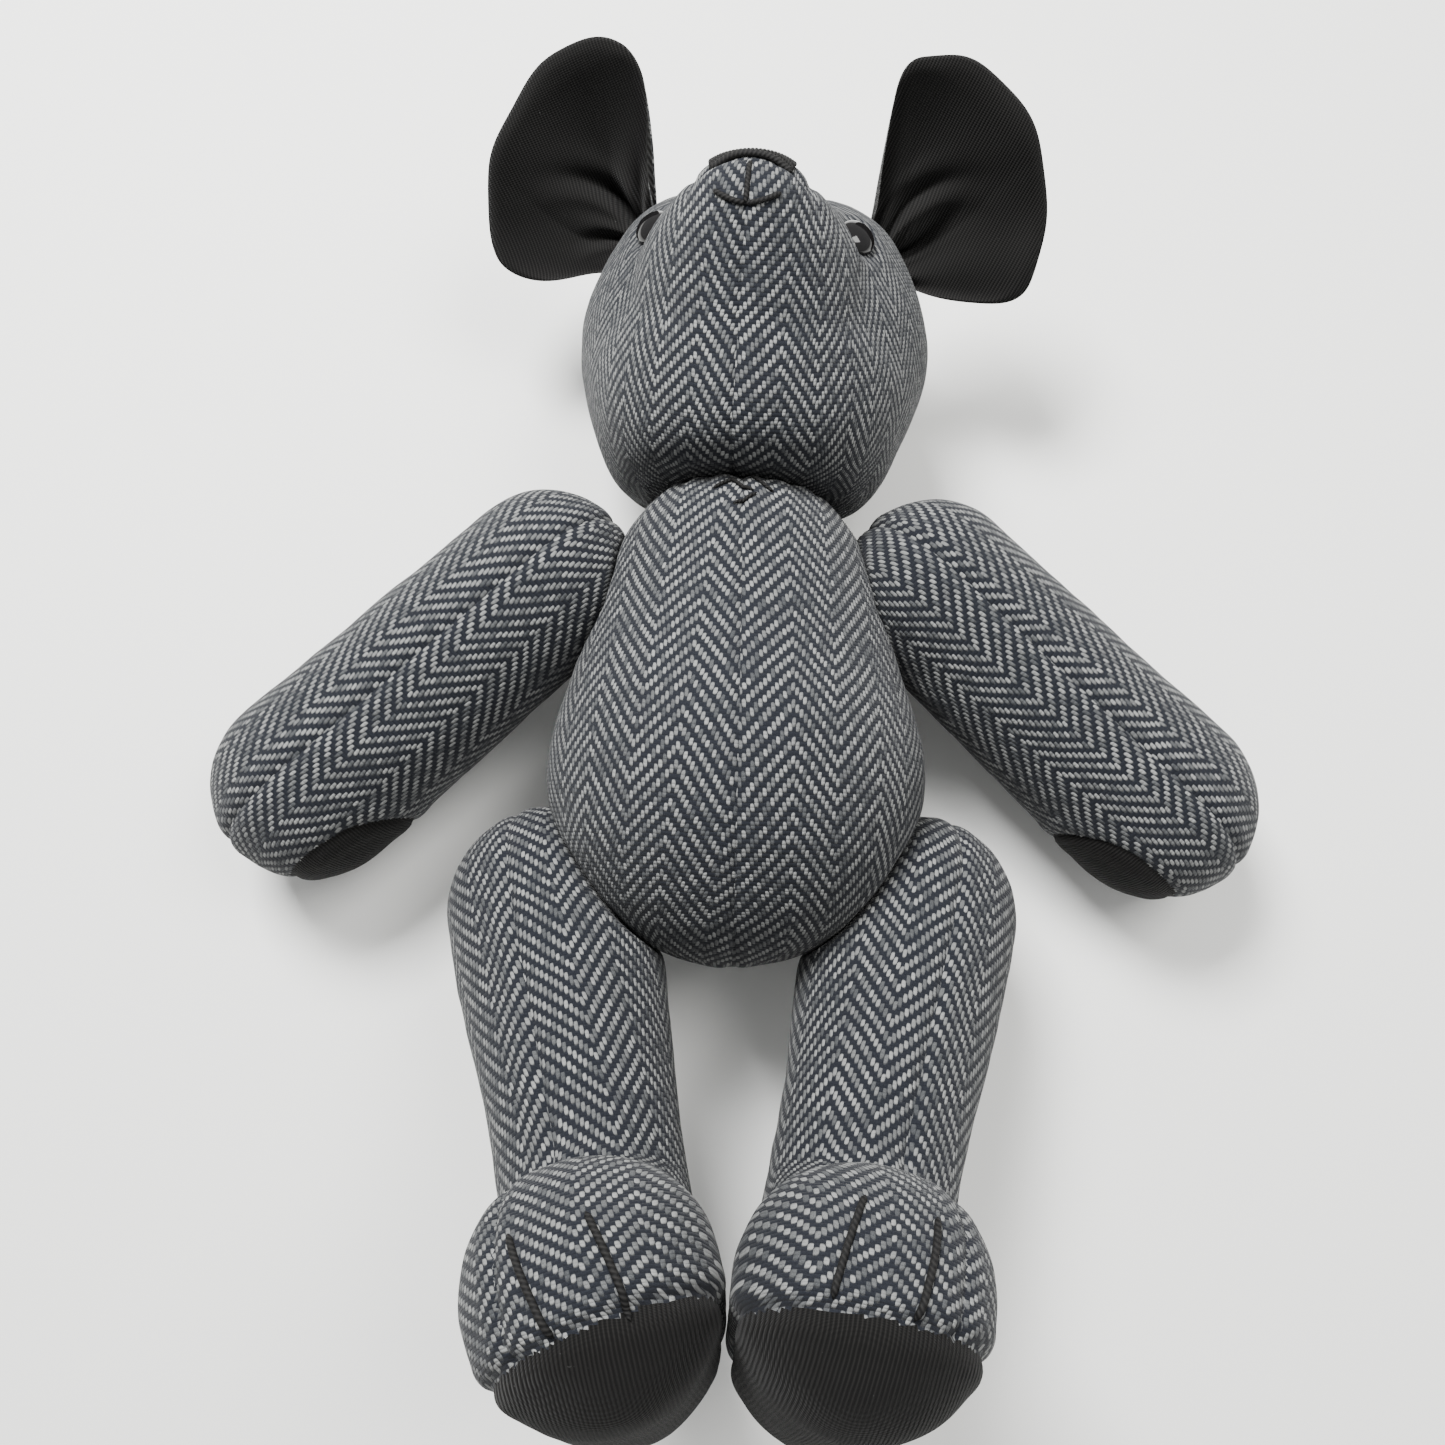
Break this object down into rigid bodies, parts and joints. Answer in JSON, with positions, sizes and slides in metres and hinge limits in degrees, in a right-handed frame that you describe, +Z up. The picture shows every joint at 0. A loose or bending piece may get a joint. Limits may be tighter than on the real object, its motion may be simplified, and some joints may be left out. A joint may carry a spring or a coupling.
{
  "type": "jointed teddy bear",
  "caption": "Jointed teddy bear in coarse charcoal herringbone tweed with black ear linings, paw pads and soles, glossy black eyes and stitched nose, mouth and claws, lying on its back",
  "frame": {"origin": "the middle of the flat patch of the back that the bear rests on", "axes": "+Z up, out of the bear's front; +Y from the belly towards the head; +X to the bear's own left"},
  "size_m": [0.3326, 0.3996, 0.162],
  "materials": {
    "tweed": "coarse herringbone wool tweed, light grey dashes on dark navy charcoal",
    "black_cloth": "fine ribbed black cloth",
    "black_thread": "black stitched cotton thread",
    "eye_gloss": "polished black",
    "lock_plastic": "plain moulded",
    "stuffing": "polyester fibre filling",
    "hardboard": "plain pressed board",
    "pin_steel": "zinc plated"
  },
  "bodies": {
    "torso": {"torso_front_left": "tweed", "torso_front_right": "tweed", "torso_back": "tweed", "torso_stuffing": "stuffing", "neck_torso_disc": "hardboard", "left_shoulder_torso_disc": "hardboard", "right_shoulder_torso_disc": "hardboard", "left_hip_torso_disc": "hardboard", "right_hip_torso_disc": "hardboard", "torso_washers": "pin_steel"},
    "head": {"head_side_left": "tweed", "head_side_right": "tweed", "head_gusset": "tweed", "head_stuffing": "stuffing", "left_ear_front": "black_cloth", "left_ear_back": "tweed", "right_ear_front": "black_cloth", "right_ear_back": "tweed", "left_eye": "eye_gloss", "right_eye": "eye_gloss", "eye_lock_washers": "lock_plastic", "nose_embroidery": "black_thread", "mouth_embroidery": "black_thread", "neck_head_disc": "hardboard", "neck_head_washer": "pin_steel", "neck_pin": "pin_steel"},
    "left_arm": {"left_arm_outer": "tweed", "left_arm_inner": "tweed", "left_paw_pad": "black_cloth", "left_arm_stuffing": "stuffing", "left_arm_disc": "hardboard", "left_arm_washer": "pin_steel", "left_arm_pin": "pin_steel"},
    "right_arm": {"right_arm_outer": "tweed", "right_arm_inner": "tweed", "right_paw_pad": "black_cloth", "right_arm_stuffing": "stuffing", "right_arm_disc": "hardboard", "right_arm_washer": "pin_steel", "right_arm_pin": "pin_steel"},
    "left_leg": {"left_leg_outer": "tweed", "left_leg_inner": "tweed", "left_sole": "black_cloth", "left_claws": "black_thread", "left_leg_stuffing": "stuffing", "left_leg_disc": "hardboard", "left_leg_washer": "pin_steel", "left_leg_pin": "pin_steel"},
    "right_leg": {"right_leg_outer": "tweed", "right_leg_inner": "tweed", "right_sole": "black_cloth", "right_claws": "black_thread", "right_leg_stuffing": "stuffing", "right_leg_disc": "hardboard", "right_leg_washer": "pin_steel", "right_leg_pin": "pin_steel"}
  },
  "joints": [
    {"name": "neck", "type": "hinge", "parent": "torso", "child": "head", "pos_m": [0.00001, 0.0884, 0.055], "axis": [0.0436, 0.999, 0], "continuous": true},
    {"name": "left_shoulder", "type": "hinge", "parent": "torso", "child": "left_arm", "pos_m": [0.03783, 0.06064, 0.04867], "axis": [-0.9888, -0.1214, 0.0872], "continuous": true},
    {"name": "right_shoulder", "type": "hinge", "parent": "torso", "child": "right_arm", "pos_m": [-0.03783, 0.06064, 0.04867], "axis": [-0.9888, 0.1214, -0.0872], "continuous": true},
    {"name": "left_hip", "type": "hinge", "parent": "torso", "child": "left_leg", "pos_m": [0.03972, -0.02972, 0.04614], "axis": [-0.7909, 0.5916, 0.1564], "range_deg": [0, 100]},
    {"name": "right_hip", "type": "hinge", "parent": "torso", "child": "right_leg", "pos_m": [-0.03972, -0.02972, 0.04614], "axis": [-0.7909, -0.5916, -0.1564], "range_deg": [0, 100]}
  ]
}
